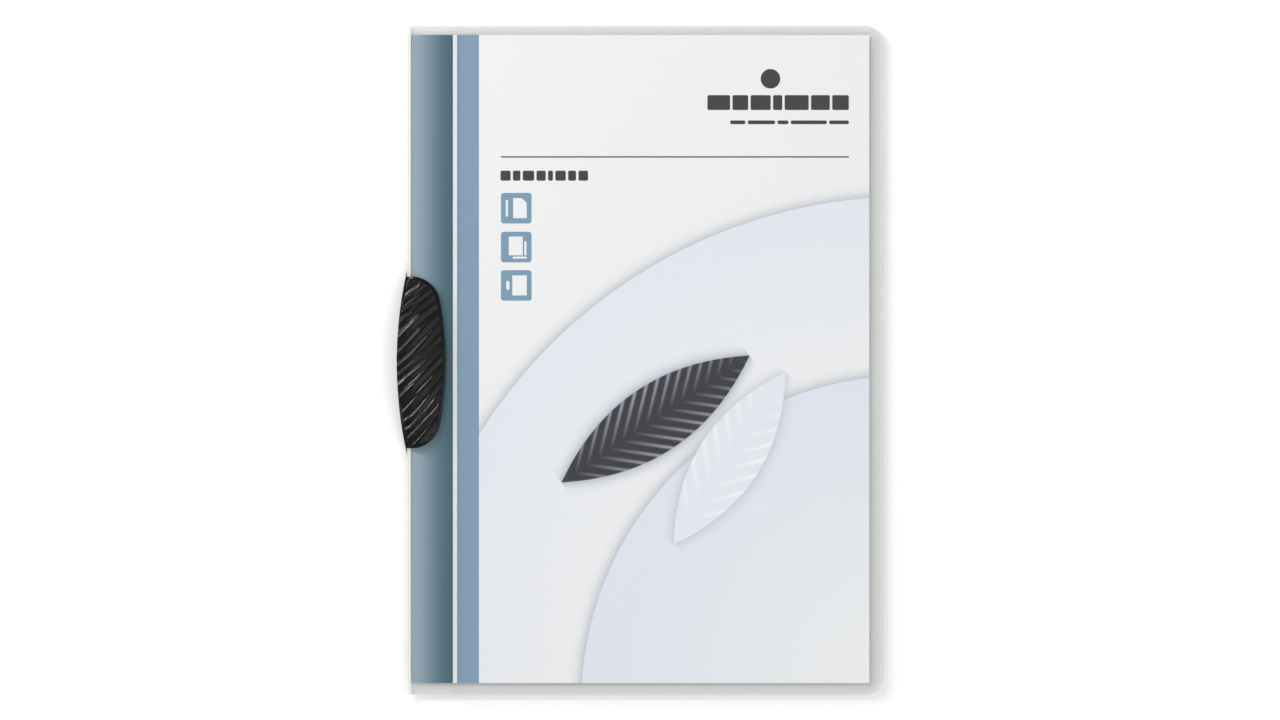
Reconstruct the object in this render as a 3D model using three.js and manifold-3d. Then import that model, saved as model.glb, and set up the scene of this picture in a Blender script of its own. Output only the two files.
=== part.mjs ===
// A4 clip folder lying flat, front cover up: a translucent film folder whose black clip swings
// out about a rivet in the back cover. Millimetres, +X away from the spine, +Y to the top, +Z up.

import * as THREE from "three";
import { mergeVertices } from "three/addons/utils/BufferGeometryUtils.js";
import Module from "manifold-3d";

const wasm = await Module();
wasm.setup();

// Folder sizes
const folderWidth = 218.5;
const folderHeight = 306.4;
const filmThickness = 0.45;
const cornerRadius = 7.5;
const spineFoldRadius = 0.7;
const creaseFromSpine = 22.2;
const creaseGap = 0.3;
const frontCoverSetback = 2;

// Printed sheet
const sheetWidth = 210;
const sheetHeight = 297;
const sheetThickness = 0.3;
const sheetFromSpine = 1.8;
const sheetRaise = 0.7;

// Clip outline, seen from the front
const clipReach = 5;
const clipArcRadius = 190;
const plateWidth = 33;
const plateEndRadius = 11;
const plateThickness = 1.8;
const plateSoftening = 0.4;
const jawHalfLength = 39.3;
const jawFreeEdge = 17.8;
const jawArcRadius = 150;
const jawCornerRadius = 13;
const jawEndStart = 1.5;
const crestInset = 0.5;
const crestArcRadius = 132;
const crestHeight = 9.1;
const clipDrop = 0.9;

// Clip walls
const wallThickness = 1.6;
const wallLean = 0.6;
const wallClearance = 0.6;
const jawThickness = 1.3;
const crownSpan = 46;
const crownPeak = 0.68;
const shoulderDrop = 1.5;
const grooveDepth = 0.9;
const grooveStart = 0.9;
const rimWidth = 1.3;
const rimStep = 0.25;

// Folds on the jaw
const foldPitch = 5.7;
const foldHeight = 0.95;
const foldSlope = 0.85;
const foldSweep = 0.12;
const foldFan = 0.16;
const foldWander = 0.8;
const wanderLength = 27;
const wanderSlant = 0.8;
const foldFade = 0.5;
const edgeFade = 0.16;
const ridgePitch = 1.9;
const ridgeHeight = 0.22;
const ridgeDrift = 37;
const ridgeFade = 0.7;
const foldStep = 0.46;
const alongFoldSteps = 16;

// Rivet
const pivotFromSpine = 9;
const pivotHeight = 36;
const rivetRadius = 2;
const rivetFlangeRadius = 4;
const rivetFlangeThickness = 0.8;
const rivetHeadRadius = 4.5;
const rivetHeadThickness = 0.5;
const rivetRecess = 0.15;

// Clearances
const runningGap = 0.3;
const layerGap = 0.3;

// Smoothness of the round stretches
const arcSteps = 20;
const roundSteps = 40;
const crownColumns = 24;
const crownRows = 32;

// Heights of the layers, from the surface that the clip's plate rests on
const backCoverBottom = plateThickness + runningGap;
const backCoverTop = backCoverBottom + filmThickness;
const sheetBottom = backCoverTop + rivetHeadThickness + layerGap;
const frontCoverBottom = sheetBottom + sheetThickness + layerGap;
const frontCoverTop = frontCoverBottom + filmThickness;
const lipBottom = frontCoverTop + runningGap;
const lipTop = lipBottom + jawThickness;

// Places that follow from the sizes
const spineX = (clipReach - folderWidth) / 2;
const outerArcCentre = clipArcRadius - clipReach;
const plateCentre = plateWidth / 2 - clipReach;
const jawArcCentre = jawFreeEdge - jawArcRadius;
const crestArcCentre = crestInset - clipReach + crestArcRadius;
const crestFromSpine = crestInset - clipReach;
const jawCrestWidth = jawFreeEdge - crestFromSpine;
const cutBeyond = 2;
const clearOfAll = 60;

const film = new THREE.MeshStandardMaterial({ color: 0xdddfdb, roughness: 0.35, metalness: 0 });
const frontFilm = new THREE.MeshStandardMaterial({ color: 0xe3e5e1, roughness: 0.3, metalness: 0 });
const blackPlastic = new THREE.MeshStandardMaterial({ color: 0x121312, roughness: 0.3, metalness: 0 });
const rivetPlastic = new THREE.MeshStandardMaterial({ color: 0x1a1b1a, roughness: 0.4, metalness: 0 });
const printedCard = new THREE.MeshStandardMaterial({ color: 0xeff0f0, roughness: 0.6, metalness: 0 });

// Joining and cutting of closed meshes
function toSolid(geometry) {
  const bare = geometry.clone();
  bare.deleteAttribute("normal");
  bare.deleteAttribute("uv");
  const merged = mergeVertices(bare, 1e-4);
  return new wasm.Manifold(
    new wasm.Mesh({
      numProp: 3,
      vertProperties: new Float32Array(merged.attributes.position.array),
      triVerts: new Uint32Array(merged.index.array),
    }),
  );
}

function toGeometry(solid) {
  const mesh = solid.getMesh();
  const geometry = new THREE.BufferGeometry();
  geometry.setAttribute("position", new THREE.BufferAttribute(mesh.vertProperties, mesh.numProp));
  geometry.setIndex(new THREE.BufferAttribute(mesh.triVerts, 1));
  geometry.computeVertexNormals();
  return geometry;
}

function prism(shape, bottom, top) {
  const geometry = new THREE.ExtrudeGeometry(shape, {
    depth: top - bottom,
    bevelEnabled: false,
    curveSegments: arcSteps,
  });
  return geometry.translate(0, 0, bottom);
}

function softPrism(shape, bottom, top, softening) {
  const geometry = new THREE.ExtrudeGeometry(shape, {
    depth: top - bottom - 2 * softening,
    bevelEnabled: true,
    bevelThickness: softening,
    bevelSize: softening,
    bevelOffset: -softening,
    bevelSegments: 1,
    curveSegments: arcSteps,
  });
  return geometry.translate(0, 0, bottom + softening);
}

function disc(radius, bottom, top) {
  const geometry = new THREE.CylinderGeometry(radius, radius, top - bottom, roundSteps);
  geometry.rotateX(Math.PI / 2);
  return geometry.translate(0, 0, (bottom + top) / 2);
}

// A closed block with a flat bottom whose top follows point(across, along) over a grid
function reliefBlock(columns, rows, bottom, point) {
  const positions = [];
  const index = [];
  for (let row = 0; row <= rows; row += 1) {
    for (let column = 0; column <= columns; column += 1) {
      const [x, y, z] = point(column / columns, row / rows);
      positions.push(x, y, z, x, y, bottom);
    }
  }
  const topOf = (column, row) => 2 * (row * (columns + 1) + column);
  const quad = (a, b, c, d) => index.push(a, b, c, a, c, d);
  for (let row = 0; row < rows; row += 1) {
    for (let column = 0; column < columns; column += 1) {
      const a = topOf(column, row);
      const b = topOf(column + 1, row);
      const c = topOf(column + 1, row + 1);
      const d = topOf(column, row + 1);
      quad(a, b, c, d);
      quad(d + 1, c + 1, b + 1, a + 1);
    }
  }
  for (let column = 0; column < columns; column += 1) {
    const near = topOf(column, 0);
    const nearNext = topOf(column + 1, 0);
    const far = topOf(column, rows);
    const farNext = topOf(column + 1, rows);
    quad(near + 1, nearNext + 1, nearNext, near);
    quad(far, farNext, farNext + 1, far + 1);
  }
  for (let row = 0; row < rows; row += 1) {
    const left = topOf(0, row);
    const leftNext = topOf(0, row + 1);
    const right = topOf(columns, row);
    const rightNext = topOf(columns, row + 1);
    quad(left, leftNext, leftNext + 1, left + 1);
    quad(right + 1, rightNext + 1, rightNext, right);
  }
  const geometry = new THREE.BufferGeometry();
  geometry.setAttribute("position", new THREE.Float32BufferAttribute(positions, 3));
  geometry.setIndex(index);
  return geometry;
}

// Back cover, spine fold and front binding strip: one folded film
function foldedFilmProfile() {
  const outer = spineFoldRadius;
  const inner = spineFoldRadius - filmThickness;
  const profile = new THREE.Shape();
  profile.moveTo(folderWidth, backCoverBottom);
  profile.lineTo(folderWidth, backCoverTop);
  profile.lineTo(filmThickness + inner, backCoverTop);
  profile.absarc(spineFoldRadius, backCoverBottom + outer, inner, -Math.PI / 2, -Math.PI, true);
  profile.lineTo(filmThickness, frontCoverTop - outer);
  profile.absarc(spineFoldRadius, frontCoverTop - outer, inner, Math.PI, Math.PI / 2, true);
  profile.lineTo(creaseFromSpine, frontCoverBottom);
  profile.lineTo(creaseFromSpine, frontCoverTop);
  profile.lineTo(spineFoldRadius, frontCoverTop);
  profile.absarc(spineFoldRadius, frontCoverTop - outer, outer, Math.PI / 2, Math.PI, false);
  profile.lineTo(0, backCoverBottom + outer);
  profile.absarc(spineFoldRadius, backCoverBottom + outer, outer, Math.PI, 1.5 * Math.PI, false);
  profile.closePath();
  return profile;
}

// A panel outline with square corners on the left and rounded ones on the right
function panelOutline(left, right) {
  const half = folderHeight / 2;
  const outline = new THREE.Shape();
  outline.moveTo(left, -half);
  outline.lineTo(right - cornerRadius, -half);
  outline.absarc(right - cornerRadius, cornerRadius - half, cornerRadius, -Math.PI / 2, 0, false);
  outline.lineTo(right, half - cornerRadius);
  outline.absarc(right - cornerRadius, half - cornerRadius, cornerRadius, 0, Math.PI / 2, false);
  outline.lineTo(left, half);
  outline.closePath();
  return outline;
}

function backCoverGeometry() {
  const folded = new THREE.ExtrudeGeometry(foldedFilmProfile(), {
    depth: folderHeight,
    bevelEnabled: false,
    curveSegments: 4,
  });
  folded.rotateX(Math.PI / 2);
  folded.translate(0, folderHeight / 2, 0);
  const trim = prism(panelOutline(-clearOfAll, folderWidth), 0, frontCoverTop + cutBeyond);
  const hole = disc(rivetRadius + runningGap, 0, sheetBottom);
  hole.translate(pivotFromSpine, pivotHeight - clipDrop, 0);
  return toGeometry(toSolid(folded).intersect(toSolid(trim)).subtract(toSolid(hole)));
}

function frontCoverGeometry() {
  const left = creaseFromSpine + creaseGap;
  const right = folderWidth - frontCoverSetback;
  return prism(panelOutline(left, right), frontCoverBottom, frontCoverTop);
}

function sheetGeometry() {
  const sheet = new THREE.BoxGeometry(sheetWidth, sheetHeight, sheetThickness);
  const middle = sheetFromSpine + sheetWidth / 2;
  return sheet.translate(middle, sheetRaise, sheetBottom + sheetThickness / 2);
}

// Lens of two equal arcs with rounded ends, for the plate behind the back cover
function plateOutline() {
  const reach = clipArcRadius - plateEndRadius;
  const side = clipArcRadius - plateWidth / 2;
  const endCentre = Math.sqrt(reach * reach - side * side);
  const sweep = Math.asin(endCentre / reach);
  const outline = new THREE.Shape();
  outline.absarc(outerArcCentre, 0, clipArcRadius, Math.PI - sweep, Math.PI + sweep, false);
  outline.absarc(plateCentre, -endCentre, plateEndRadius, Math.PI + sweep, 2 * Math.PI - sweep, false);
  outline.absarc(2 * plateCentre - outerArcCentre, 0, clipArcRadius, -sweep, sweep, false);
  outline.absarc(plateCentre, endCentre, plateEndRadius, sweep, Math.PI - sweep, false);
  return outline;
}

// Outline of the jaw, between an arc along the spine side and the free edge over the cover
function jawOutline(spineCentre, spineRadius, edgeInset) {
  const half = jawHalfLength - edgeInset;
  const freeRadius = jawArcRadius - edgeInset;
  const corner = jawCornerRadius - edgeInset;
  const cornerY = half - corner;
  const cornerX = jawArcCentre + Math.sqrt((freeRadius - corner) ** 2 - cornerY ** 2);
  const sweep = Math.asin(cornerY / (freeRadius - corner));
  const spineSweep = Math.asin(half / spineRadius);
  const outline = new THREE.Shape();
  outline.absarc(spineCentre, 0, spineRadius, Math.PI - spineSweep, Math.PI + spineSweep, false);
  outline.lineTo(jawEndStart, -half);
  outline.absarc(cornerX, -cornerY, corner, -Math.PI / 2, -sweep, false);
  outline.absarc(jawArcCentre, 0, freeRadius, -sweep, sweep, false);
  outline.absarc(cornerX, cornerY, corner, sweep, Math.PI / 2, false);
  outline.lineTo(jawEndStart, half);
  outline.closePath();
  return outline;
}

// How far a place lies from the jaw's free edge towards its crest: 0 at the edge, 1 at the crest
function towardsCrest(x, y) {
  const height = THREE.MathUtils.clamp(y, -jawHalfLength, jawHalfLength);
  const edge = jawArcCentre + Math.sqrt(jawArcRadius ** 2 - height ** 2);
  const crest = crestArcCentre - Math.sqrt(crestArcRadius ** 2 - height ** 2);
  return THREE.MathUtils.clamp((edge - x) / (edge - crest), 0, 1);
}

// The jaw's smooth crown: it climbs from the free edge to a peak, then rolls over to the crest
function crownHeight(x, y) {
  const across = towardsCrest(x, y);
  const along = 1 - (y / crownSpan) ** 2;
  const climb = Math.sin((Math.min(across / crownPeak, 1) * Math.PI) / 2);
  const roll = Math.max(across - crownPeak, 0) / (1 - crownPeak);
  return lipTop + along * ((crestHeight - lipTop) * climb - shoulderDrop * roll * roll);
}

// The smooth surface under the folds, which drops into a groove beside their crest
function bedHeight(x, y) {
  const groove = THREE.MathUtils.smoothstep(towardsCrest(x, y), grooveStart, 1);
  return crownHeight(x, y) - rimStep - grooveDepth * groove;
}

// The same from the crest along a line towards the free edge: 0 at the crest, 1 at the edge
function fromCrest(x) {
  return (x - crestFromSpine) / jawCrestWidth;
}

// How far a fold that leaves the crest at the height start has climbed at x
function foldClimb(x, start) {
  const across = fromCrest(x);
  const sweep = foldSweep - (foldFan * start) / jawHalfLength;
  return jawCrestWidth * (foldSlope * across + sweep * across * Math.abs(across));
}

// A smooth wave between 0 and 1
function swell(turns) {
  return (1 + Math.cos(2 * Math.PI * turns)) / 2;
}

// Flowing folds like gathered cloth, with finer ridges between them that fade from the crest
function foldRelief(x, start) {
  const across = THREE.MathUtils.clamp(fromCrest(x), 0, 1);
  const slant = start + wanderSlant * x;
  const wander = foldWander * (swell(start / wanderLength) + swell(slant / wanderLength));
  const fade = foldFade * across * swell((start + slant) / wanderLength);
  const drift = foldWander * swell(slant / ridgeDrift);
  const fold = foldHeight * swell((start + 2 * wander) / foldPitch) * (1 - fade);
  const ridge = ridgeHeight * swell((start + 2 * drift) / ridgePitch) * (1 - ridgeFade * across);
  return (fold + ridge) * THREE.MathUtils.smoothstep(1 - across, 0, edgeFade);
}

// The jaw and its outer wall up to the crest: the wall leans inwards from the plate's edge
function leaningBody() {
  const height = crestHeight - plateThickness;
  const outline = jawOutline(outerArcCentre, clipArcRadius, 0);
  const body = prism(outline, plateThickness - plateSoftening, crestHeight + cutBeyond);
  const positions = body.attributes.position;
  for (let i = 0; i < positions.count; i += 1) {
    const x = positions.getX(i);
    const rise = Math.max(positions.getZ(i) - plateThickness, 0);
    if (x < 0) positions.setX(i, x + (wallLean * rise) / height);
  }
  return toSolid(body);
}

// The space between plate and jaw that the folder and its sheets lie in
function throatShape() {
  const innerRadius = clipArcRadius - wallThickness;
  const wallHalf = Math.sqrt(innerRadius ** 2 - (outerArcCentre + wallClearance) ** 2);
  const sweep = Math.asin(wallHalf / innerRadius);
  const throat = new THREE.Shape();
  throat.absarc(outerArcCentre, 0, innerRadius, Math.PI + sweep, Math.PI - sweep, true);
  throat.lineTo(-clearOfAll, wallHalf);
  throat.lineTo(-clearOfAll, clearOfAll);
  throat.lineTo(clearOfAll, clearOfAll);
  throat.lineTo(clearOfAll, -clearOfAll);
  throat.lineTo(-clearOfAll, -clearOfAll);
  throat.lineTo(-clearOfAll, -wallHalf);
  throat.closePath();
  return throat;
}

// Jaw and wall: a smooth bed, the folds on it, and an arched hollow with walls round three sides
function jawSolid() {
  const reach = jawHalfLength + clearOfAll / 2;
  const left = -clearOfAll / 4;
  const width = jawFreeEdge - 2 * left;
  const over = (heightOf) => (across, along) => {
    const x = left + width * across;
    const y = reach * (2 * along - 1);
    return [x, y, heightOf(x, y)];
  };
  const bed = toSolid(reliefBlock(crownColumns, crownRows, 0, over(bedHeight)));
  const foldRows = Math.round((2 * reach) / foldStep);
  const folds = reliefBlock(alongFoldSteps, foldRows, lipBottom + rimStep, (across, along) => {
    const x = left + width * across;
    const start = reach * (2 * along - 1);
    const y = start + foldClimb(x, start);
    return [x, y, crownHeight(x, y) + foldRelief(x, start)];
  });
  const foldOutline = jawOutline(crestArcCentre, crestArcRadius, rimWidth);
  const foldArea = prism(foldOutline, lipBottom, crestHeight + cutBeyond);
  const arch = reliefBlock(crownColumns, crownRows, 0, over((x, y) => bedHeight(x, y) - jawThickness));
  const innerRadius = clipArcRadius - wallThickness;
  const archOutline = jawOutline(outerArcCentre, innerRadius, jawThickness);
  const archArea = prism(archOutline, plateThickness, crestHeight);
  const throat = throatShape();
  const lowThroat = toSolid(prism(throat, plateThickness, lipBottom));
  const fullThroat = toSolid(prism(throat, plateThickness, crestHeight));
  const hollow = toSolid(arch).intersect(toSolid(archArea)).intersect(fullThroat);
  const smooth = leaningBody().intersect(bed);
  const folded = toSolid(folds).intersect(toSolid(foldArea));
  return smooth.add(folded).subtract(lowThroat).subtract(hollow);
}

function clipGeometry() {
  const plate = toSolid(softPrism(plateOutline(), 0, plateThickness, plateSoftening));
  const recessTop = rivetRecess + rivetFlangeThickness + runningGap;
  const recess = disc(rivetFlangeRadius + runningGap, -cutBeyond, recessTop);
  const bore = disc(rivetRadius + runningGap, -cutBeyond, plateThickness + runningGap);
  recess.translate(pivotFromSpine, pivotHeight, 0);
  bore.translate(pivotFromSpine, pivotHeight, 0);
  const clip = jawSolid().add(plate);
  return toGeometry(clip.subtract(toSolid(recess)).subtract(toSolid(bore)));
}

// Rivet: a recessed flange under the plate, a shank and a low domed head inside the folder
function rivetGeometry() {
  const flangeTop = rivetRecess + rivetFlangeThickness;
  const headTop = backCoverTop + rivetHeadThickness;
  const edge = rivetHeadThickness / 2;
  const profile = [
    new THREE.Vector2(0, rivetRecess),
    new THREE.Vector2(rivetFlangeRadius, rivetRecess),
    new THREE.Vector2(rivetFlangeRadius, flangeTop),
    new THREE.Vector2(rivetRadius, flangeTop),
    new THREE.Vector2(rivetRadius, backCoverTop),
    new THREE.Vector2(rivetHeadRadius, backCoverTop),
    new THREE.Vector2(rivetHeadRadius, headTop - edge),
    new THREE.Vector2(rivetHeadRadius - edge, headTop),
    new THREE.Vector2(0, headTop),
  ];
  const turned = new THREE.LatheGeometry(profile, roundSteps);
  return turned.rotateX(Math.PI / 2);
}

function namedMesh(name, geometry, material) {
  const mesh = new THREE.Mesh(geometry, material);
  mesh.name = name;
  return mesh;
}

const folder = new THREE.Group();
folder.position.set(spineX, 0, 0);
folder.add(namedMesh("back_cover", backCoverGeometry(), film));
folder.add(namedMesh("front_cover", frontCoverGeometry(), frontFilm));
folder.add(namedMesh("insert_sheet", sheetGeometry(), printedCard));

const clipGroup = new THREE.Group();
clipGroup.position.set(0, -clipDrop, 0);
clipGroup.add(namedMesh("clip", clipGeometry(), blackPlastic));

const rivet = namedMesh("pivot_rivet", rivetGeometry(), rivetPlastic);
rivet.position.set(pivotFromSpine, pivotHeight, 0);
clipGroup.add(rivet);
folder.add(clipGroup);

export default folder;
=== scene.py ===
"""Clip folder: looks for an A4 folder of translucent film with a printed sheet and a ribbed black clip.

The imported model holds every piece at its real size. This script gives the films, the printed sheet,
the clip and the rivet their finishes, adds the web in the crease, the print and the clip's smooth
moulded surface, and sets the floor, the light and the camera of the photograph.
"""

import logging
import math
from dataclasses import dataclass, replace
from enum import Enum
from typing import Any, Sequence

import bmesh
import bpy
from mathutils import Matrix, Vector


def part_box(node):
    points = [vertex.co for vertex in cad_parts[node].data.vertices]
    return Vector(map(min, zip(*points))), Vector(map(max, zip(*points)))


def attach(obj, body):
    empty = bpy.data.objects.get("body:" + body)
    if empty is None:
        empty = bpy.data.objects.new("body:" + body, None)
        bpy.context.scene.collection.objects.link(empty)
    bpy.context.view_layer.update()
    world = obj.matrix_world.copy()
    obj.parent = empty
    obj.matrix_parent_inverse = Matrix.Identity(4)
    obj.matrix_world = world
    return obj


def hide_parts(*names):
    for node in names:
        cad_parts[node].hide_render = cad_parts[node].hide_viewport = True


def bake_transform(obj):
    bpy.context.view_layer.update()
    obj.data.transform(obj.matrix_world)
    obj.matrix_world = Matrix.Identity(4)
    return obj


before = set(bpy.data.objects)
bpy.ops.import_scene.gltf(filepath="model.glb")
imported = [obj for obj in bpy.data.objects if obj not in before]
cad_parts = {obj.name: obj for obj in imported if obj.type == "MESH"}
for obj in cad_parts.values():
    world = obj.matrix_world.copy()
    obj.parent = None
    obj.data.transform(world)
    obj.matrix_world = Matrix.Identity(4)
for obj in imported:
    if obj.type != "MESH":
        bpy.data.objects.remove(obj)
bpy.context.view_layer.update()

LOG = logging.getLogger("clip_folder")

MM = 0.001
WHITE = (1.0, 1.0, 1.0, 1.0)


class Piece(Enum):
    """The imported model's pieces."""

    BACK_COVER = "back_cover"
    FRONT_COVER = "front_cover"
    SHEET = "insert_sheet"
    CLIP = "clip"
    RIVET = "pivot_rivet"

    @property
    def model(self) -> bpy.types.Object:
        """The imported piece's object."""
        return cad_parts[self.value]


class Body(Enum):
    """The bodies that pieces ride on."""

    FOLDER = "folder"
    FRONT = "front"
    CLIP = "swing_clip"


class Slot(Enum):
    """Names of material slots for the added pieces; no piece is given one here."""

    FRONT_FILM = "front_film"
    CARD = "printed_card"
    CLIP = "clip_plastic"


def linear(hex_colour: str) -> tuple[float, float, float, float]:
    """Turns an sRGB hex colour into a linear one.

    Args:
        hex_colour: Six hex digits.

    Returns:
        Linear red, green, blue and an alpha of 1.
    """
    channels = [int(hex_colour[i : i + 2], 16) / 255 for i in (0, 2, 4)]
    turned = [c / 12.92 if c <= 0.04045 else ((c + 0.055) / 1.055) ** 2.4 for c in channels]
    return (*turned, 1.0)


def deselect_all() -> None:
    """Leaves no object selected or active."""
    if bpy.context.object and bpy.context.object.mode != "OBJECT":
        bpy.ops.object.mode_set(mode="OBJECT")
    bpy.ops.object.select_all(action="DESELECT")
    bpy.context.view_layer.objects.active = None


def make_active(piece: bpy.types.Object) -> None:
    """Selects one object alone and makes it active.

    Args:
        piece: The object to work on.
    """
    deselect_all()
    piece.select_set(True)
    bpy.context.view_layer.objects.active = piece


def settle(piece: bpy.types.Object) -> None:
    """Puts a piece's place into its mesh, so that its object sits at the origin.

    Args:
        piece: The object to settle.
    """
    make_active(piece)
    bpy.ops.object.transform_apply(location=True, rotation=True, scale=True)
    deselect_all()


def new_material(name: str) -> tuple[bpy.types.Material, bpy.types.NodeTree]:
    """Makes an empty node material.

    Args:
        name: The finish's name.

    Returns:
        The material and its cleared node tree.
    """
    material = bpy.data.materials.new(name)
    material.use_nodes = True
    material.node_tree.nodes.clear()
    return material, material.node_tree


def dress(piece: bpy.types.Object, material: bpy.types.Material) -> None:
    """Gives a piece one material all over.

    Args:
        piece: The object to dress.
        material: Its finish.
    """
    if len(piece.material_slots) == 0:
        piece.data.materials.append(material)
    for slot in piece.material_slots:
        slot.material = material


def add_node(
    tree: bpy.types.NodeTree,
    kind: str,
    settings: dict[str, Any] | None = None,
    inputs: dict[Any, Any] | None = None,
) -> bpy.types.Node:
    """Adds one shader node with its settings, values and links.

    Args:
        tree: The material's or world's node tree.
        kind: The node's type name.
        settings: Properties of the node itself.
        inputs: What each input gets, by its name or number: a value, a socket, or a node whose first
            live output is meant.

    Returns:
        The new node.
    """
    node = tree.nodes.new(kind)
    for key, value in (settings or {}).items():
        setattr(node, key, value)
    for key, value in (inputs or {}).items():
        live = [socket for socket in node.inputs if socket.enabled and socket.name == key]
        target = live[0] if live else node.inputs[key]
        if isinstance(value, bpy.types.Node):
            value = next(socket for socket in value.outputs if socket.enabled)
        if isinstance(value, bpy.types.NodeSocket):
            tree.links.new(value, target)
        else:
            target.default_value = value
    return node


def lay_below(
    tree: bpy.types.NodeTree, measure: Any, limit: float, under: Any, over: Any
) -> bpy.types.Node:
    """Lays one colour over another wherever a measure is below a limit.

    Args:
        tree: The material's node tree.
        measure: What is measured.
        limit: Where the upper colour ends.
        under: The lower colour.
        over: The upper colour.

    Returns:
        The node that gives the colour.
    """
    here = add_node(tree, "ShaderNodeMath", {"operation": "LESS_THAN"}, {0: measure, 1: limit})
    return add_node(tree, "ShaderNodeMix", {"data_type": "RGBA"}, {"Factor": here, "A": under, "B": over})


def seen_directly(tree: bpy.types.NodeTree) -> bpy.types.Node:
    """Tells rays that show a background, straight or in gloss or glass, from rays that carry light.

    Args:
        tree: The material's or world's node tree.

    Returns:
        A node that gives 1 for rays that show a background.
    """
    path = add_node(tree, "ShaderNodeLightPath")
    seen = path.outputs["Is Camera Ray"]
    for kind in ("Is Glossy Ray", "Is Transmission Ray"):
        seen = add_node(tree, "ShaderNodeMath", {"operation": "MAXIMUM"}, {0: seen, 1: path.outputs[kind]})
    return seen


@dataclass(frozen=True)
class Layout:
    """Places on the folder, in metres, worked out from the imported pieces."""

    sheet_low: Vector
    sheet_high: Vector
    front_low: Vector
    front_high: Vector
    back_low: Vector
    back_high: Vector

    @classmethod
    def from_frame(cls) -> "Layout":
        """Reads the boxes of the sheet and the two covers.

        Returns:
            The layout.
        """
        pieces = (Piece.SHEET, Piece.FRONT_COVER, Piece.BACK_COVER)
        return cls(*(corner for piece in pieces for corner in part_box(piece.value)))

    @property
    def film_middle(self) -> float:
        """A height between the back panel and the front film."""
        return (self.back_low.z + self.front_low.z) / 2

    @property
    def sheet_middle(self) -> float:
        """The height of the middle of the sheet's thickness."""
        return (self.sheet_low.z + self.sheet_high.z) / 2


@dataclass(frozen=True, kw_only=True)
class Finish:
    """What the folder's finishes share: a gloss and a fine grain. Each kind adds its own colour.

    The real grains are finer than a picture shows, so they are drawn as coarse as they need to be seen.
    """

    name: str
    roughness: float
    grain_mm: float
    grain_depth_mm: float
    grain_strength: float = 0.3
    grain_detail: float = 2.0
    ior: float = 1.5
    specular: float = 0.5

    def paint(self, tree: bpy.types.NodeTree, place: bpy.types.Node) -> dict[str, Any]:
        """Works out the colour, and the opacity of a material that lets light through.

        Args:
            tree: The material's node tree.
            place: The node that gives places on the piece.

        Returns:
            What the surface shader's inputs get.
        """
        raise NotImplementedError

    def build(self) -> bpy.types.Material:
        """Builds the material.

        Returns:
            The finished material.
        """
        material, tree = new_material(self.name)
        place = add_node(tree, "ShaderNodeTexCoord")
        grain = add_node(
            tree,
            "ShaderNodeTexNoise",
            inputs={
                "Vector": place.outputs["Object"],
                "Scale": 1 / (self.grain_mm * MM),
                "Detail": self.grain_detail,
            },
        )
        relief = add_node(
            tree,
            "ShaderNodeBump",
            inputs={
                "Height": grain,
                "Strength": self.grain_strength,
                "Distance": self.grain_depth_mm * MM,
            },
        )
        shader = add_node(
            tree,
            "ShaderNodeBsdfPrincipled",
            inputs={
                "Roughness": self.roughness,
                "IOR": self.ior,
                "Specular IOR Level": self.specular,
                "Normal": relief,
                **self.paint(tree, place),
            },
        )
        add_node(tree, "ShaderNodeOutputMaterial", inputs={"Surface": shader})
        return material


@dataclass(frozen=True, kw_only=True)
class Film(Finish):
    """Cast polypropylene film: where clear, almost unseen face on, with a soft sheen at a low angle."""

    clear_colour: str = "9FA8A9"
    clear_haze: float = 0.022
    sheen_haze: float = 0.25
    sheen_start: float = 0.2
    sheen_blend: float = 0.3
    specular: float = 0.15
    ior: float = 1.49
    grain_mm: float = 0.6

    def clear_opacity(self, tree: bpy.types.NodeTree) -> bpy.types.Node:
        """Works out how much of what lies beneath the clear film hides.

        Args:
            tree: The material's node tree.

        Returns:
            The node that gives the opacity.
        """
        slant = add_node(tree, "ShaderNodeLayerWeight", inputs={"Blend": self.sheen_blend})
        return add_node(
            tree,
            "ShaderNodeMapRange",
            inputs={
                "Value": slant.outputs["Facing"],
                "From Min": self.sheen_start,
                "To Min": self.clear_haze,
                "To Max": self.sheen_haze,
            },
        )


@dataclass(frozen=True, kw_only=True)
class ClearFilm(Film):
    """The front cover's film: clear and glossy, with cut edges that catch the light and read as white."""

    name: str = "clear_polypropylene_film"
    roughness: float = 0.16
    cut_edge_haze: float = 0.85
    cut_edge_tilt: float = 0.5
    grain_depth_mm: float = 0.004

    def paint(self, tree: bpy.types.NodeTree, place: bpy.types.Node) -> dict[str, Any]:
        """Leaves the faces clear and makes the cut edges, which face sideways, almost solid.

        Args:
            tree: The material's node tree.
            place: The node that gives places on the piece.

        Returns:
            The colour and the opacity.
        """
        outward = add_node(tree, "ShaderNodeSeparateXYZ", inputs={0: place.outputs["Normal"]})
        tilt = add_node(tree, "ShaderNodeMath", {"operation": "ABSOLUTE"}, {0: outward.outputs["Z"]})
        cut_edge = add_node(
            tree, "ShaderNodeMath", {"operation": "LESS_THAN"}, {0: tilt, 1: self.cut_edge_tilt}
        )
        opacity = add_node(
            tree,
            "ShaderNodeMix",
            {"data_type": "FLOAT"},
            {"Factor": cut_edge, "A": self.clear_opacity(tree), "B": self.cut_edge_haze},
        )
        return {"Base Color": linear(self.clear_colour), "Alpha": opacity}


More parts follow.
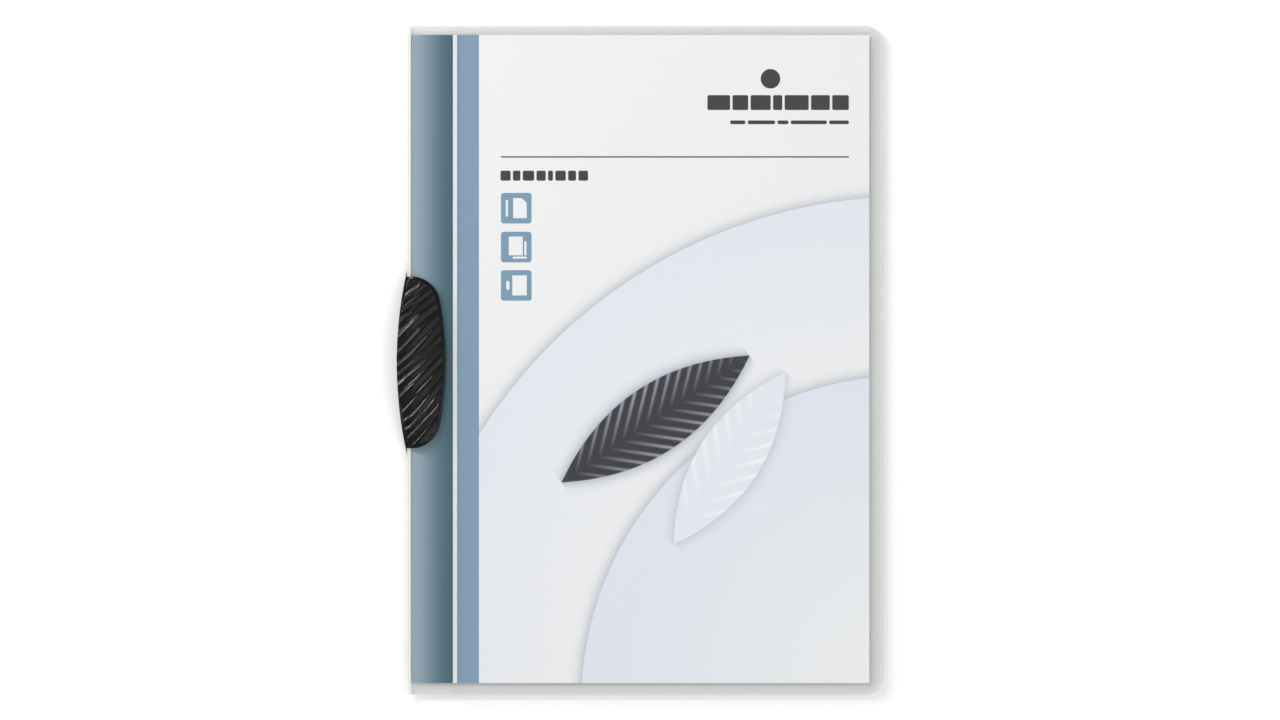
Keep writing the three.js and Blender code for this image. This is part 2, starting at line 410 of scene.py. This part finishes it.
@dataclass(frozen=True, kw_only=True)
class FoldedFilm(Film):
    """The back cover's film: frosted behind the sheet, with a painted highlight along the fold, clear round
    on the front.
    """

    layout: Layout
    name: str = "frosted_polypropylene_film"
    frosted_colour: str = "E9EBE7"
    frosted_haze: float = 0.6
    cloud_mm: float = 90.0
    cloud_detail: float = 1.0
    cloud_low: float = 0.3
    cloud_high: float = 0.7
    cloud_haze: float = 0.03
    # painted highlight: a whiter, more opaque strip along the spine fold, where the doubled film catches
    # the light
    fold_highlight_colour: str = "F6F8F0"
    fold_highlight_haze: float = 0.6
    fold_highlight_width_mm: float = 1.7
    roughness: float = 0.3
    grain_depth_mm: float = 0.006
    grain_strength: float = 0.5
    grain_detail: float = 3.0

    def paint(self, tree: bpy.types.NodeTree, place: bpy.types.Node) -> dict[str, Any]:
        """Frosts the back panel with faint clouds, leaves the front strip clear and paints a whiter
        highlight along the fold.

        Args:
            tree: The material's node tree.
            place: The node that gives places on the piece.

        Returns:
            The colour and the opacity.
        """
        cloud = add_node(
            tree,
            "ShaderNodeTexNoise",
            inputs={
                "Vector": place.outputs["Object"],
                "Scale": 1 / (self.cloud_mm * MM),
                "Detail": self.cloud_detail,
            },
        )
        frosted = add_node(
            tree,
            "ShaderNodeMapRange",
            inputs={
                "Value": cloud,
                "From Min": self.cloud_low,
                "From Max": self.cloud_high,
                "To Min": self.frosted_haze - self.cloud_haze,
                "To Max": self.frosted_haze + self.cloud_haze,
            },
        )
        axes = add_node(tree, "ShaderNodeSeparateXYZ", inputs={0: place.outputs["Object"]})
        fold_highlight_end = self.layout.back_low.x + self.fold_highlight_width_mm * MM
        colour: Any = linear(self.clear_colour)
        opacity: Any = self.clear_opacity(tree)
        for measure, limit, tint, haze in (
            (axes.outputs["Z"], self.layout.film_middle, self.frosted_colour, frosted),
            # the strip along the fold gets the painted highlight's whiter colour and haze
            (axes.outputs["X"], fold_highlight_end, self.fold_highlight_colour, self.fold_highlight_haze),
        ):
            colour = lay_below(tree, measure, limit, colour, linear(tint))
            here = add_node(tree, "ShaderNodeMath", {"operation": "LESS_THAN"}, {0: measure, 1: limit})
            opacity = add_node(
                tree, "ShaderNodeMix", {"data_type": "FLOAT"}, {"Factor": here, "A": opacity, "B": haze}
            )
        return {"Base Color": colour, "Alpha": opacity}


@dataclass(frozen=True, kw_only=True)
class PlainColour(Finish):
    """A finish of one colour all over."""

    colour: str

    def paint(self, tree: bpy.types.NodeTree, place: bpy.types.Node) -> dict[str, Any]:
        """Gives the one colour.

        Args:
            tree: The material's node tree.
            place: The node that gives places on the piece.

        Returns:
            The colour.
        """
        return {"Base Color": linear(self.colour)}


@dataclass(frozen=True, kw_only=True)
class BlackMoulding(PlainColour):
    """The clip's moulded ABS, black and glossy: deep black with sharp streaks of light along the ribs."""

    name: str = "black_abs_moulding"
    colour: str = "040405"
    roughness: float = 0.19
    specular: float = 0.14
    ior: float = 1.52
    grain_mm: float = 0.35
    grain_depth_mm: float = 0.0025
    grain_strength: float = 0.4


@dataclass(frozen=True, kw_only=True)
class BlackAcetal(BlackMoulding):
    """The rivet's moulded acetal, black and satin: a slightly greyer, duller black than the clip's."""

    name: str = "black_acetal_rivet"
    colour: str = "141415"
    roughness: float = 0.38


@dataclass(frozen=True, kw_only=True)
class Ink(PlainColour):
    """Offset ink on coated card: a flat colour with a slight gloss and the card's fine tooth."""

    roughness: float = 0.5
    grain_mm: float = 0.4
    grain_depth_mm: float = 0.004


@dataclass(frozen=True)
class Leaf:
    """A leaf in the print: its middle, sizes and tilt, its tones, its veins' spacing and its shadow."""

    middle: tuple[float, float]
    half_length: float
    half_width: float
    tilt_deg: float
    colour: str
    sheen: str
    vein_mm: float
    shadow: float


@dataclass(frozen=True)
class CurvedField:
    """A soft curved field in the print: its radius about the common centre, its tone and its fade."""

    radius: float
    colour: str
    depth: float


@dataclass(frozen=True, kw_only=True)
class PrintedCard(Finish):
    """Coated card, smooth and a little satin, printed with bands, soft curved fields and two leaves.

    Every place is in millimetres from the sheet's top left corner.
    """

    layout: Layout
    name: str = "coated_card_print"
    paper: str = "F3F4F4"
    band_end: float = 19.2
    band_colours: tuple[str, ...] = ("9BACB8", "879CA9", "668291", "446674", "2F5363")
    line_end: float = 21.1
    stripe_end: float = 31.1
    stripe_colour: str = "7F9AB2"
    centre: tuple[float, float, float] = (228.0, 306.0, 0.0)
    fields: tuple[CurvedField, ...] = (
        CurvedField(232.0, "E8EBF3", 90.0),
        CurvedField(150.0, "E4E9F3", 130.0),
    )
    leaves: tuple[Leaf, ...] = (
        Leaf((146.0, 194.0), 47.0, 14.5, 57.0, "E9ECF4", "FAFBFC", 9.0, 0.5),
        Leaf((112.0, 176.0), 52.0, 15.5, 34.0, "0C0C13", "A2A2B6", 6.5, 0.9),
    )
    vein_slant: float = 1.1
    vein_sharpness: float = 4.0
    shadow_colour: str = "B4B7C2"
    shadow_reach: float = 9.0
    shadow_fall: float = 3.0
    field_shadow: float = 0.75
    roughness: float = 0.45
    grain_mm: float = 0.4
    grain_depth_mm: float = 0.004

    def paint(self, tree: bpy.types.NodeTree, place: bpy.types.Node) -> dict[str, Any]:
        """Prints the upper side and leaves the rest of the card plain.

        Args:
            tree: The material's node tree.
            place: The node that gives places on the piece.

        Returns:
            The colour.
        """
        left, top = self.layout.sheet_low.x / MM, self.layout.sheet_high.y / MM
        on_print = add_node(
            tree,
            "ShaderNodeMapping",
            inputs={
                "Vector": place.outputs["Object"],
                "Location": (-left, top, 0.0),
                "Scale": (1 / MM, -1 / MM, 0.0),
            },
        )
        colour: Any = linear(self.paper)
        for curve in self.fields:
            colour = self.lay_field(tree, curve, on_print, colour)
        for leaf in self.leaves:
            colour = self.lay_leaf(tree, leaf, on_print, colour)
        printed = self.lay_bands(tree, on_print, colour)
        axes = add_node(tree, "ShaderNodeSeparateXYZ", inputs={0: place.outputs["Object"]})
        middle = self.layout.sheet_middle
        return {"Base Color": lay_below(tree, axes.outputs["Z"], middle, printed, linear(self.paper))}

    def lay_shadow(
        self, tree: bpy.types.NodeTree, beyond: bpy.types.Node, strength: Any, under: Any
    ) -> bpy.types.Node:
        """Lays a soft shadow beside an edge.

        Args:
            tree: The material's node tree.
            beyond: Gives millimetres outside the edge.
            strength: How dark the shadow is at the edge.
            under: The colour beneath.

        Returns:
            The node that gives the shaded colour.
        """
        near = add_node(
            tree,
            "ShaderNodeMapRange",
            inputs={"Value": beyond, "From Max": self.shadow_reach, "To Min": 1.0, "To Max": 0.0},
        )
        fall = add_node(tree, "ShaderNodeMath", {"operation": "POWER"}, {0: near, 1: self.shadow_fall})
        shade = add_node(tree, "ShaderNodeMath", {"operation": "MULTIPLY"}, {0: fall, 1: strength})
        return add_node(
            tree,
            "ShaderNodeMix",
            {"data_type": "RGBA"},
            {"Factor": shade, "A": under, "B": linear(self.shadow_colour)},
        )

    def lay_field(
        self, tree: bpy.types.NodeTree, curve: CurvedField, on_print: bpy.types.Node, under: Any
    ) -> bpy.types.Node:
        """Lays a soft field about the centre outside the corner, tinted at its edge and pale inwards.

        Args:
            tree: The material's node tree.
            curve: The field.
            on_print: Gives millimetres from the sheet's top left corner.
            under: The colour beneath.

        Returns:
            The node that gives the colour with the field.
        """
        away = add_node(
            tree, "ShaderNodeVectorMath", {"operation": "DISTANCE"}, {0: on_print, 1: self.centre}
        )
        beyond = add_node(tree, "ShaderNodeMath", {"operation": "SUBTRACT"}, {0: away, 1: curve.radius})
        inwards = add_node(
            tree, "ShaderNodeMapRange", inputs={"Value": beyond, "From Max": -curve.depth}
        )
        tinted = add_node(
            tree,
            "ShaderNodeMix",
            {"data_type": "RGBA"},
            {"Factor": inwards, "A": linear(curve.colour), "B": linear(self.paper)},
        )
        shaded = self.lay_shadow(tree, beyond, self.field_shadow, under)
        return lay_below(tree, beyond, 0.0, shaded, tinted)

    def lay_leaf(
        self, tree: bpy.types.NodeTree, leaf: Leaf, on_print: bpy.types.Node, under: Any
    ) -> bpy.types.Node:
        """Lays one pointed leaf with slanting veins and a soft shadow.

        Args:
            tree: The material's node tree.
            leaf: The leaf.
            on_print: Gives millimetres from the sheet's top left corner.
            under: The colour beneath.

        Returns:
            The node that gives the colour with the leaf.
        """
        turned = add_node(
            tree,
            "ShaderNodeMapping",
            {"vector_type": "TEXTURE"},
            {
                "Vector": on_print,
                "Location": (*leaf.middle, 0.0),
                "Rotation": (0.0, 0.0, -math.radians(leaf.tilt_deg)),
            },
        )
        axes = add_node(tree, "ShaderNodeSeparateXYZ", inputs={0: turned})
        length = add_node(tree, "ShaderNodeMath", {"operation": "ABSOLUTE"}, {0: axes.outputs["X"]})
        side = add_node(tree, "ShaderNodeMath", {"operation": "ABSOLUTE"}, {0: axes.outputs["Y"]})
        share = add_node(tree, "ShaderNodeMath", {"operation": "DIVIDE"}, {0: length, 1: leaf.half_length})
        square = add_node(tree, "ShaderNodeMath", {"operation": "MULTIPLY"}, {0: share, 1: share})
        taper = add_node(tree, "ShaderNodeMath", {"operation": "SUBTRACT"}, {0: 1.0, 1: square})
        width = add_node(tree, "ShaderNodeMath", {"operation": "MULTIPLY"}, {0: taper, 1: leaf.half_width})
        beyond = add_node(tree, "ShaderNodeMath", {"operation": "SUBTRACT"}, {0: side, 1: width})
        beside = add_node(tree, "ShaderNodeMath", {"operation": "LESS_THAN"}, {0: share, 1: 1.0})
        dark = add_node(tree, "ShaderNodeMath", {"operation": "MULTIPLY"}, {0: beside, 1: leaf.shadow})
        shaded = self.lay_shadow(tree, beyond, dark, under)

        slant = add_node(tree, "ShaderNodeMath", {"operation": "MULTIPLY"}, {0: side, 1: self.vein_slant})
        run = add_node(tree, "ShaderNodeMath", {"operation": "SUBTRACT"}, {0: axes.outputs["X"], 1: slant})
        turns = add_node(
            tree, "ShaderNodeMath", {"operation": "DIVIDE"}, {0: run, 1: leaf.vein_mm / (2 * math.pi)}
        )
        wave = add_node(tree, "ShaderNodeMath", {"operation": "SINE"}, {0: turns})
        vein = add_node(tree, "ShaderNodeMapRange", inputs={"Value": wave, "From Min": -1.0})
        sharp = add_node(tree, "ShaderNodeMath", {"operation": "POWER"}, {0: vein, 1: self.vein_sharpness})
        depth = add_node(tree, "ShaderNodeMath", {"operation": "DIVIDE"}, {0: side, 1: leaf.half_width})
        streak = add_node(tree, "ShaderNodeMath", {"operation": "MULTIPLY"}, {0: sharp, 1: depth})
        body = add_node(
            tree,
            "ShaderNodeMix",
            {"data_type": "RGBA"},
            {"Factor": streak, "A": linear(leaf.colour), "B": linear(leaf.sheen)},
        )
        return lay_below(tree, beyond, 0.0, shaded, body)

    def lay_bands(
        self, tree: bpy.types.NodeTree, on_print: bpy.types.Node, under: Any
    ) -> bpy.types.Node:
        """Lays the light stripe, the white line and the shaded band down the spine side.

        Args:
            tree: The material's node tree.
            on_print: Gives millimetres from the sheet's top left corner.
            under: The colour beneath.

        Returns:
            The node that gives the colour with the bands.
        """
        axes = add_node(tree, "ShaderNodeSeparateXYZ", inputs={0: on_print})
        share = add_node(
            tree, "ShaderNodeMath", {"operation": "DIVIDE"}, {0: axes.outputs["X"], 1: self.band_end}
        )
        ramp = add_node(tree, "ShaderNodeValToRGB", inputs={0: share})
        steps = len(self.band_colours) - 1
        stops = ramp.color_ramp.elements
        stops[0].color = linear(self.band_colours[0])
        stops[-1].color = linear(self.band_colours[-1])
        for step in range(1, steps):
            stops.new(step / steps).color = linear(self.band_colours[step])
        stripe = lay_below(tree, axes.outputs["X"], self.stripe_end, under, linear(self.stripe_colour))
        line = lay_below(tree, axes.outputs["X"], self.line_end, stripe, linear(self.paper))
        return lay_below(tree, axes.outputs["X"], self.band_end, line, ramp)


@dataclass(frozen=True)
class PaleFloor:
    """A plain matt floor, white enough to read as the picture's ground, that keeps a soft shadow."""

    name: str = "pale_studio_floor"
    colour: str = "FCFCFC"
    roughness: float = 0.9
    glow: float = 0.09

    def build(self) -> bpy.types.Material:
        """Builds the floor's material.

        Returns:
            The finished material.
        """
        material, tree = new_material(self.name)
        lift = add_node(
            tree, "ShaderNodeMath", {"operation": "MULTIPLY"}, {0: seen_directly(tree), 1: self.glow}
        )
        shader = add_node(
            tree,
            "ShaderNodeBsdfPrincipled",
            inputs={
                "Base Color": linear(self.colour),
                "Roughness": self.roughness,
                "Emission Color": WHITE,
                "Emission Strength": lift,
            },
        )
        add_node(tree, "ShaderNodeOutputMaterial", inputs={"Surface": shader})
        return material


@dataclass
class CreaseWeb:
    """The thin web left where the crease is pressed into the film, between the strip and the front cover.
    """

    layout: Layout
    gap: float = 0.3 * MM
    thickness: float = 0.15 * MM
    side_clearance: float = 0.02 * MM
    end_inset: float = 0.3 * MM
    cuts_across: int = 7

    def build(self, material: bpy.types.Material) -> None:
        """Models the web between the strip and the front cover.

        Args:
            material: The film's finish.
        """
        right = self.layout.front_low.x
        left = right - self.gap
        top = self.layout.front_high.z
        length = self.layout.front_high.y - self.layout.front_low.y - 2 * self.end_inset
        middle = (self.layout.front_high.y + self.layout.front_low.y) / 2
        deselect_all()
        bpy.ops.mesh.primitive_cube_add(
            size=1.0, location=((left + right) / 2, middle, top - self.thickness / 2)
        )
        web = bpy.context.object
        web.name = "crease_web"
        web.scale = (self.gap - 2 * self.side_clearance, length, self.thickness)
        settle(web)
        make_active(web)
        bpy.ops.object.mode_set(mode="EDIT")
        bpy.ops.mesh.select_all(action="SELECT")
        bpy.ops.mesh.subdivide(number_cuts=self.cuts_across)
        bpy.ops.object.mode_set(mode="OBJECT")
        dress(web, material)
        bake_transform(web)


@dataclass
class Films:
    """The two films of the folder and the web of film that joins them at the crease."""

    layout: Layout

    def build(self) -> None:
        """Dresses the covers and adds the crease web."""
        dress(Piece.BACK_COVER.model, FoldedFilm(layout=self.layout).build())
        clear = ClearFilm().build()
        dress(Piece.FRONT_COVER.model, clear)
        CreaseWeb(self.layout).build(clear)
        LOG.info("films: back cover, front cover and crease web dressed")


@dataclass(frozen=True)
class Patch:
    """One printed patch, in millimetres: where its upper left corner lies, its size and its corners."""

    left: float
    top: float
    width: float
    height: float
    corner: float = 0.0
    cut_corner: float = 0.0


@dataclass
class PrintedMarks:
    """The small print on the sheet: a thin rule, plain heading blocks and three tiles with paper signs.

    Places are in millimetres from the sheet's top left corner, and those of the signs from their tile's.
    """

    layout: Layout
    ink_height: float = 0.03 * MM
    ink_step: float = 0.02 * MM
    corner_segments: int = 6
    # how near a corner a point of a patch lies that belongs to it
    corner_reach: float = 0.1 * MM
    rule: Patch = Patch(41.2, 55.6, 159.4, 0.6)
    dot: Patch = Patch(160.2, 15.6, 9.0, 9.0, 4.49)
    word_gap: float = 1.1
    word_corner: float = 0.7
    # a block is at least so many times as high as its corners' radius
    heights_per_corner: float = 2.2
    heading_left: float = 41.0
    heading_top: float = 62.2
    heading_height: float = 4.6
    heading_words: tuple[float, ...] = (4.6, 3.4, 5.2, 4.2, 2.2, 4.8, 3.6, 4.4)
    sender_right: float = 200.6
    sender_top: float = 27.6
    sender_height: float = 6.8
    sender_words: tuple[float, ...] = (10.4, 7.2, 9.2, 4.2, 11.0, 8.6, 7.6)
    line_top: float = 39.2
    line_height: float = 1.7
    line_words: tuple[float, ...] = (7.0, 12.5, 5.0, 16.5, 9.0)
    tile_left: float = 41.2
    tile_tops: tuple[float, ...] = (72.4, 90.2, 107.8)
    tile_size: float = 14.0
    tile_corner: float = 1.3
    # a sheet with a cut corner beside a bar, two sheets one behind the other, and a sheet with a tab
    tile_signs: tuple[tuple[Patch, ...], ...] = (
        (Patch(5.6, 2.4, 6.2, 9.2, cut_corner=2.2), Patch(2.2, 3.2, 1.0, 7.6)),
        (Patch(3.6, 2.2, 6.4, 8.6), Patch(5.4, 11.4, 6.4, 0.9), Patch(10.7, 4.4, 1.0, 6.4)),
        (Patch(5.2, 2.4, 6.6, 9.2), Patch(2.4, 5.0, 1.5, 4.0, corner=0.6)),
    )

    def words(self, left: float, top: float, height: float, widths: Sequence[float]) -> list[Patch]:
        """Sets a row of plain blocks with even gaps.

        Args:
            left: Where the row starts.
            top: The row's top.
            height: How high the blocks are.
            widths: How wide each block is.

        Returns:
            The blocks.
        """
        row = []
        corner = min(self.word_corner, height / self.heights_per_corner)
        for width in widths:
            row.append(Patch(left, top, width, height, corner))
            left += width + self.word_gap
        return row

    def row_left(self, right: float, widths: Sequence[float]) -> float:
        """Works out where a row starts that ends at a set place.

        Args:
            right: Where the row ends.
            widths: How wide each block is.

        Returns:
            Where the row starts.
        """
        return right - sum(widths) - self.word_gap * (len(widths) - 1)

    def dark_patches(self) -> list[Patch]:
        """Sets the rule, the dot and the three rows of blocks.

        Returns:
            The patches of dark ink.
        """
        sender_left = self.row_left(self.sender_right, self.sender_words)
        line_left = self.row_left(self.sender_right, self.line_words)
        return [
            self.rule,
            self.dot,
            *self.words(self.heading_left, self.heading_top, self.heading_height, self.heading_words),
            *self.words(sender_left, self.sender_top, self.sender_height, self.sender_words),
            *self.words(line_left, self.line_top, self.line_height, self.line_words),
        ]

    def tile_patches(self) -> list[Patch]:
        """Sets the tiles below each other.

        Returns:
            The patches of blue ink.
        """
        size = self.tile_size
        return [Patch(self.tile_left, top, size, size, self.tile_corner) for top in self.tile_tops]

    def sign_patches(self) -> list[Patch]:
        """Sets each tile's sign on it.

        Returns:
            The patches of white ink.
        """
        return [
            replace(mark, left=self.tile_left + mark.left, top=top + mark.top)
            for top, marks in zip(self.tile_tops, self.tile_signs)
            for mark in marks
        ]

    def shape_corners(self, piece: bpy.types.Object, patch: Patch) -> None:
        """Rounds a patch's corners, or cuts off the upper right one.

        Args:
            piece: The patch's plane.
            patch: Its sizes.
        """
        if not patch.corner and not patch.cut_corner:
            return
        make_active(piece)
        bpy.ops.object.mode_set(mode="EDIT")
        shape = bmesh.from_edit_mesh(piece.data)
        right = max(vertex.co.x for vertex in shape.verts) - self.corner_reach
        top = max(vertex.co.y for vertex in shape.verts) - self.corner_reach
        for vertex in shape.verts:
            vertex.select_set(bool(patch.corner) or (vertex.co.x > right and vertex.co.y > top))
        bmesh.update_edit_mesh(piece.data)
        bpy.ops.mesh.bevel(
            offset=(patch.corner or patch.cut_corner) * MM,
            segments=self.corner_segments if patch.corner else 1,
            affect="VERTICES",
        )
        bpy.ops.object.mode_set(mode="OBJECT")

    def model_ink(self, name: str, patches: Sequence[Patch], level: int) -> bpy.types.Object:
        """Models a group of printed patches as one thin layer of ink.

        Args:
            name: The piece's name.
            patches: The patches of that ink.
            level: How many layers of ink lie under it.

        Returns:
            The ink layer.
        """
        corner = Vector((self.layout.sheet_low.x, self.layout.sheet_high.y))
        base = self.layout.sheet_high.z + level * self.ink_step
        made = []
        for patch in patches:
            x = corner.x + (patch.left + patch.width / 2) * MM
            y = corner.y - (patch.top + patch.height / 2) * MM
            deselect_all()
            bpy.ops.mesh.primitive_plane_add(size=1.0, location=(x, y, base))
            piece = bpy.context.object
            piece.scale = (patch.width * MM, patch.height * MM, 1.0)
            settle(piece)
            self.shape_corners(piece, patch)
            made.append(piece)
        deselect_all()
        for piece in made:
            piece.select_set(True)
        bpy.context.view_layer.objects.active = made[0]
        bpy.ops.object.join()
        ink = bpy.context.object
        ink.name = name
        skin = ink.modifiers.new("ink_height", "SOLIDIFY")
        skin.thickness = self.ink_height
        skin.offset = 1.0
        bpy.ops.object.modifier_apply(modifier=skin.name)
        settle(ink)
        return ink

    def build(self) -> None:
        """Models and dresses the three inks."""
        inks = (
            ("dark_print", self.dark_patches(), 0, Ink(name="dark_offset_ink", colour="1E2023")),
            ("tile_print", self.tile_patches(), 0, Ink(name="blue_offset_ink", colour="7899B1")),
            ("sign_print", self.sign_patches(), 1, Ink(name="white_offset_ink", colour="F1F4F6")),
        )
        for name, patches, level, ink in inks:
            piece = self.model_ink(name, patches, level)
            dress(piece, ink.build())
            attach(piece, Body.FOLDER.value)
            LOG.info("print: %s with %d patches", name, len(patches))


@dataclass
class PrintedSheet:
    """The sheet inside the folder, with its print."""

    layout: Layout

    def build(self) -> None:
        """Dresses the sheet and adds the small print."""
        dress(Piece.SHEET.model, PrintedCard(layout=self.layout).build())
        LOG.info("sheet: print dressed")
        PrintedMarks(self.layout).build()


@dataclass
class ClipMoulding:
    """The clip's surface as it leaves the mould: every edge slightly rounded, the ribs smooth."""

    weld_reach: float = 0.001 * MM
    voxel: float = 0.23 * MM
    ease: float = 0.5
    ease_passes: int = 7

    def build(self) -> None:
        """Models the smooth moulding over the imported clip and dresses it."""
        moulding = bpy.data.objects.new("clip_moulding", Piece.CLIP.model.data.copy())
        bpy.context.scene.collection.objects.link(moulding)
        make_active(moulding)
        bpy.ops.object.mode_set(mode="EDIT")
        bpy.ops.mesh.select_all(action="SELECT")
        bpy.ops.mesh.remove_doubles(threshold=self.weld_reach)
        bpy.ops.object.mode_set(mode="OBJECT")
        skin = moulding.modifiers.new("moulded_skin", "REMESH")
        skin.mode = "VOXEL"
        skin.voxel_size = self.voxel
        skin.use_smooth_shade = True
        bpy.ops.object.modifier_apply(modifier=skin.name)
        ease = moulding.modifiers.new("eased_edges", "SMOOTH")
        ease.factor = self.ease
        ease.iterations = self.ease_passes
        bpy.ops.object.modifier_apply(modifier=ease.name)
        deselect_all()
        moulding.data.materials.clear()
        dress(moulding, BlackMoulding().build())
        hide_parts(Piece.CLIP.value)
        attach(moulding, Body.CLIP.value)
        LOG.info("clip: moulded surface with %d faces", len(moulding.data.polygons))


@dataclass
class PivotRivet:
    """The plastic rivet that the clip swings on."""

    def build(self) -> None:
        """Dresses the rivet."""
        dress(Piece.RIVET.model, BlackAcetal().build())
        LOG.info("rivet: dressed")


@dataclass(frozen=True)
class Lamp:
    """A soft lamp that faces the folder: its place in metres, which way it runs, its size and its watts."""

    name: str
    place: tuple[float, float, float]
    along: tuple[float, float, float]
    size: tuple[float, float]
    power: float

    def build(self) -> None:
        """Adds the lamp to the scene."""
        light = bpy.data.lights.new(self.name, "AREA")
        light.shape = "RECTANGLE"
        light.size, light.size_y = self.size
        light.energy = self.power
        backwards = Vector(self.place).normalized()
        sideways = Vector(self.along).cross(backwards).normalized()
        upwards = backwards.cross(sideways)
        turn = Matrix((sideways, upwards, backwards)).transposed()
        lamp = bpy.data.objects.new(self.name, light)
        lamp.matrix_world = Matrix.Translation(self.place) @ turn.to_4x4()
        bpy.context.scene.collection.objects.link(lamp)


@dataclass
class Studio:
    """The plain floor, the soft lights and the camera of the photograph.

    The places in pixels are the photograph's, where the A4 sheet sets how long a pixel is.
    """

    layout: Layout
    photo_width_px: int = 1280
    mm_per_px: float = 0.458
    spine_px: float = 407.0
    frame_middle_px: float = 640.0
    folder_middle_y_px: float = 360.5
    frame_middle_y_px: float = 360.0
    lens: float = 85.0
    sensor: float = 36.0
    floor_size: float = 4.0
    world_strength: float = 0.47
    lamps: tuple[Lamp, ...] = (
        Lamp("streak_strip", (-1.275, 0.893, 0.8), (0.55, 0.19, 0.55), (0.11, 1.4), 25.0),
        Lamp("lower_right", (1.7, -0.9, 1.8), (0.0, 1.0, 0.0), (2.2, 2.2), 27.0),
    )

    def build(self) -> None:
        """Lays the floor and sets the lights and the camera."""
        self.lay_floor()
        self.set_surround()
        for lamp in self.lamps:
            lamp.build()
        self.set_camera()
        LOG.info("studio: floor, lights and camera set")

    def lay_floor(self) -> None:
        """Lays the floor that the folder lies on."""
        deselect_all()
        bpy.ops.mesh.primitive_plane_add(size=self.floor_size, location=(0.0, 0.0, 0.0))
        floor = bpy.context.object
        floor.name = "studio_floor"
        dress(floor, PaleFloor().build())

    def set_surround(self) -> None:
        """Sets an even surrounding that looks white and lights the folder softly."""
        world = bpy.data.worlds.new("studio_surround")
        world.use_nodes = True
        tree = world.node_tree
        tree.nodes.clear()
        strength = add_node(
            tree,
            "ShaderNodeMapRange",
            inputs={"Value": seen_directly(tree), "To Min": self.world_strength, "To Max": 1.0},
        )
        glow = add_node(tree, "ShaderNodeBackground", inputs={"Color": WHITE, "Strength": strength})
        add_node(tree, "ShaderNodeOutputWorld", inputs={"Surface": glow})
        bpy.context.scene.world = world

    def set_camera(self) -> None:
        """Sets the camera straight above, as the photograph looks at the folder."""
        data = bpy.data.cameras.new("photo_camera")
        data.lens = self.lens
        data.sensor_width = self.sensor
        camera = bpy.data.objects.new("photo_camera", data)
        step = self.mm_per_px * MM
        distance = self.photo_width_px * step * self.lens / self.sensor
        x = self.layout.back_low.x + (self.frame_middle_px - self.spine_px) * step
        y = (self.folder_middle_y_px - self.frame_middle_y_px) * step
        camera.location = (x, y, self.layout.front_high.z + distance)
        bpy.context.scene.collection.objects.link(camera)
        bpy.context.scene.camera = camera
        bpy.context.scene.view_settings.view_transform = "Standard"


def main() -> None:
    """Builds the folder's looks in order."""
    logging.basicConfig(level=logging.INFO, format="%(name)s: %(message)s")
    layout = Layout.from_frame()
    for part in (Studio(layout), Films(layout), PrintedSheet(layout), ClipMoulding(), PivotRivet()):
        part.build()


if __name__ == "__main__":
    main()
